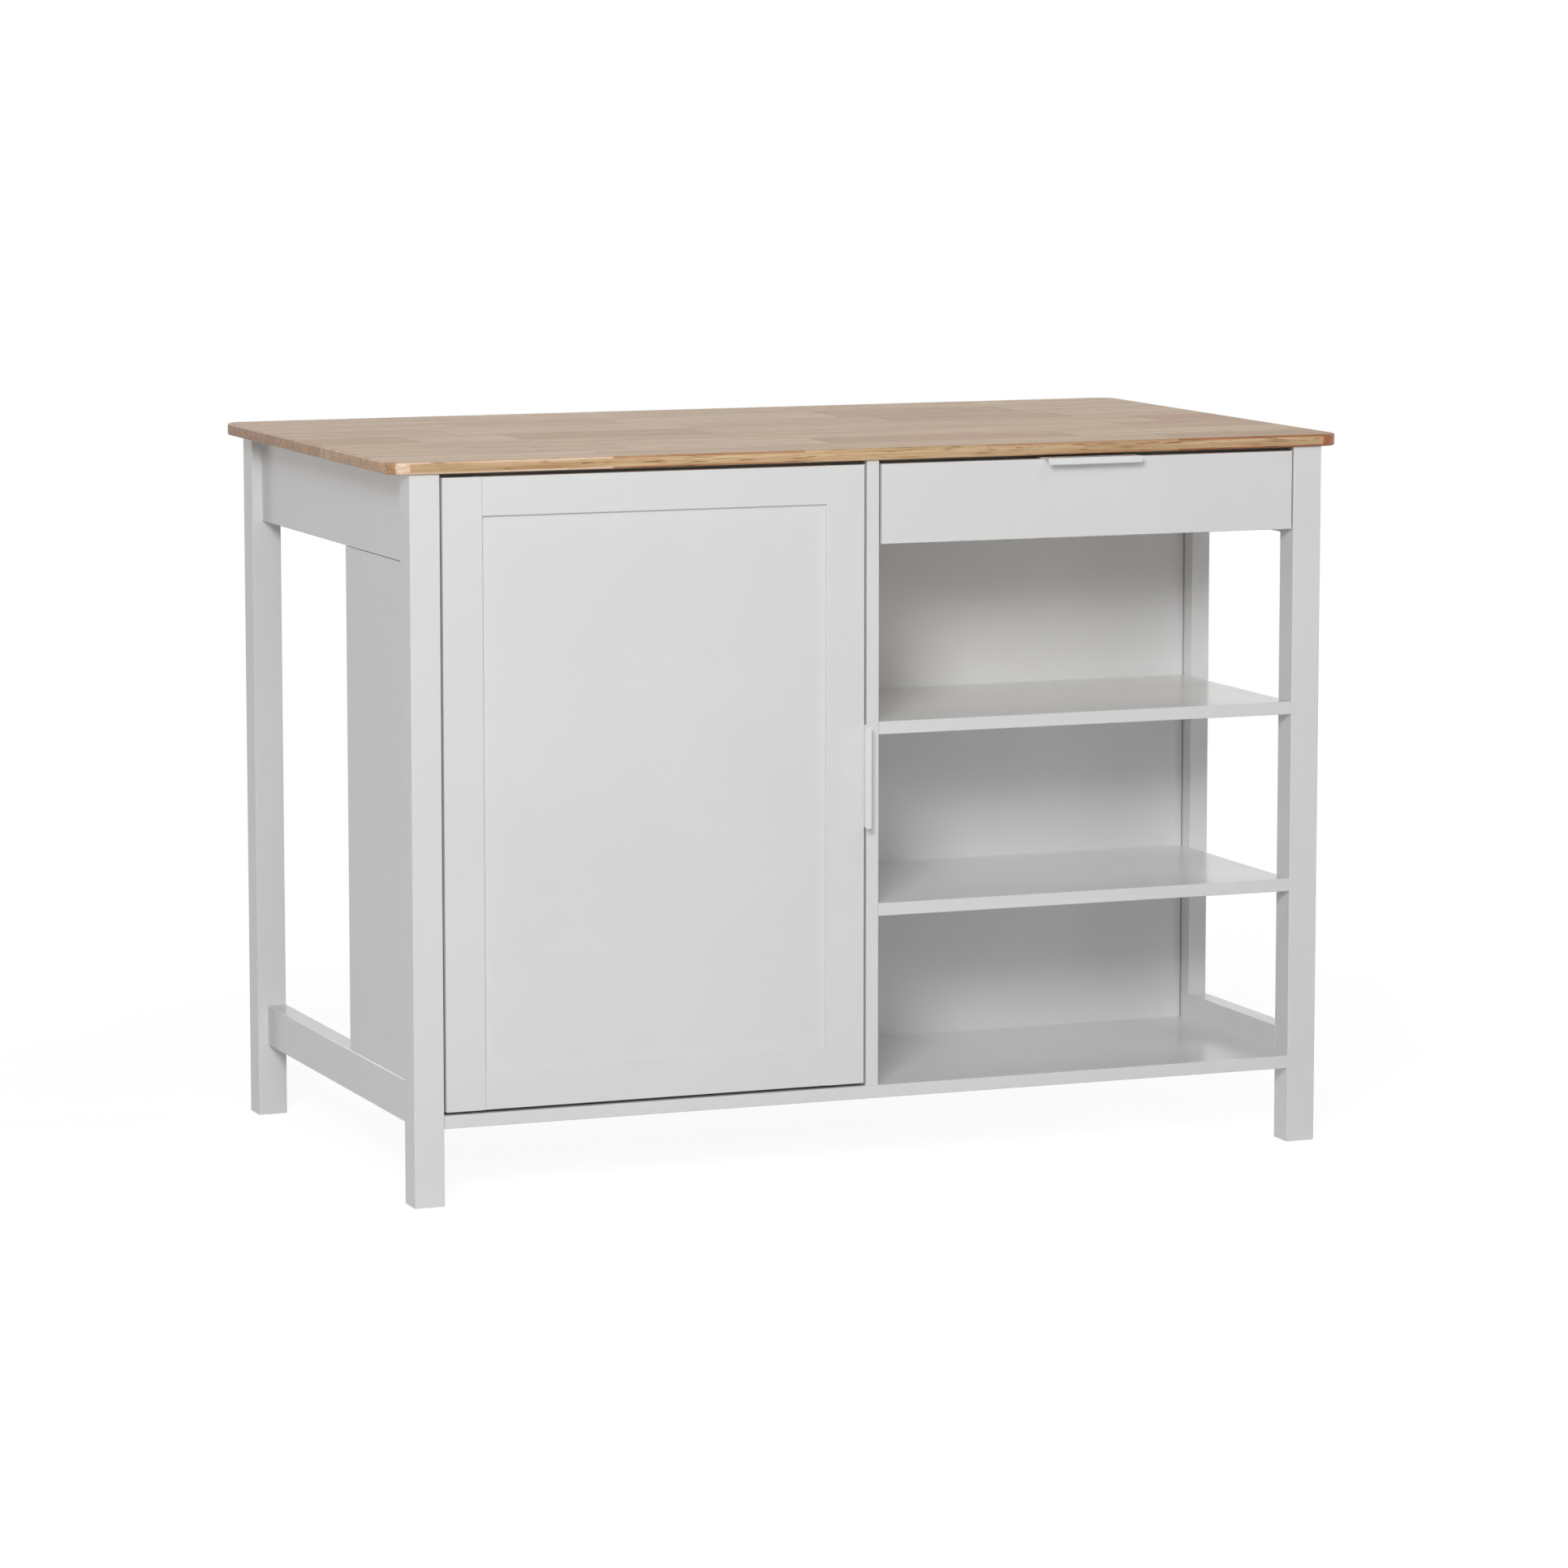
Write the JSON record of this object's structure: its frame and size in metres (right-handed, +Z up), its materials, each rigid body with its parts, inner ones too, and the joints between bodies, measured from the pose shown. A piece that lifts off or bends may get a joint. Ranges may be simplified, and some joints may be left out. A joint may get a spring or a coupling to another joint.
{
  "type": "kitchen island unit",
  "caption": "Kitchen island with a solid-wood worktop on a painted leg frame, a cupboard with a framed door, a drawer over open shelves, and an open knee space behind.",
  "frame": {"origin": "on the floor, under the middle of the worktop; the pulls stand 14 mm in front of the worktop's edge, so the middle of the whole box is 7 mm nearer the front", "axes": "+Z up, -Y out of the front with the door and drawer, +X to the right seen from the front"},
  "size_m": [1.25, 0.714, 0.9],
  "materials": {
    "oiled_wood": "oiled",
    "paint": "satin white paint",
    "raw_wood": "clear lacquer",
    "pull_metal": "satin white",
    "plated_steel": "zinc plated",
    "plastic": "matte"
  },
  "bodies": {
    "cabinet": {"worktop": "oiled_wood", "leg_front_left": "paint", "leg_front_right": "paint", "leg_back_left": "paint", "leg_back_right": "paint", "apron_left": "paint", "apron_right": "paint", "apron_back": "paint", "stretcher_left": "paint", "stretcher_right": "paint", "front_top_rail": "paint", "bottom_shelf": "paint", "side_panel_left": "paint", "divider_panel": "paint", "back_panel": "paint", "rear_post_right": "paint", "corner_batten": "paint", "shelf_upper": "paint", "shelf_lower": "paint", "cupboard_shelf": "paint", "frame_dowels": "raw_wood", "shelf_pins": "plated_steel", "hinge_arms": "plated_steel", "hinge_plates": "plated_steel", "hinge_plate_screws": "plated_steel", "runner_outer_left": "plated_steel", "runner_outer_right": "plated_steel", "runner_cabinet_screws": "plated_steel", "worktop_brackets": "plated_steel", "worktop_screws": "plated_steel", "back_panel_screws": "plated_steel", "catch_body": "plastic", "leg_glides": "plastic"},
    "door": {"door_stile_hinge": "paint", "door_stile_handle": "paint", "door_rail_top": "paint", "door_rail_bottom": "paint", "door_panel": "paint", "door_handle": "pull_metal", "door_handle_screws": "plated_steel", "hinge_cups": "plated_steel", "hinge_cup_screws": "plated_steel", "hinge_pins": "plated_steel", "catch_strike": "plated_steel"},
    "drawer": {"drawer_front": "paint", "drawer_side_left": "raw_wood", "drawer_side_right": "raw_wood", "drawer_back": "raw_wood", "drawer_inner_front": "raw_wood", "drawer_bottom": "raw_wood", "drawer_handle": "pull_metal", "drawer_handle_screws": "plated_steel", "drawer_front_screws": "plated_steel", "runner_inner_left": "plated_steel", "runner_inner_right": "plated_steel", "runner_drawer_screws": "plated_steel"},
    "runner_slides": {"runner_middle_left": "plated_steel", "runner_middle_right": "plated_steel"}
  },
  "joints": [
    {"name": "door_hinge", "type": "hinge", "parent": "cabinet", "child": "door", "pos_m": [-0.544, -0.336, 0.498], "axis": [0, 0, -1], "range_deg": [0, 95]},
    {"name": "drawer_slide", "type": "slide", "parent": "cabinet", "child": "drawer", "axis": [0, -1, 0], "range_m": [0, 0.25]},
    {"name": "runner_slide", "type": "slide", "parent": "cabinet", "child": "runner_slides", "axis": [0, -1, 0], "range_m": [0, 0.125]}
  ],
  "couplings": [
    {"joint": "runner_slide", "follows": "drawer_slide", "ratio": 0.5}
  ]
}
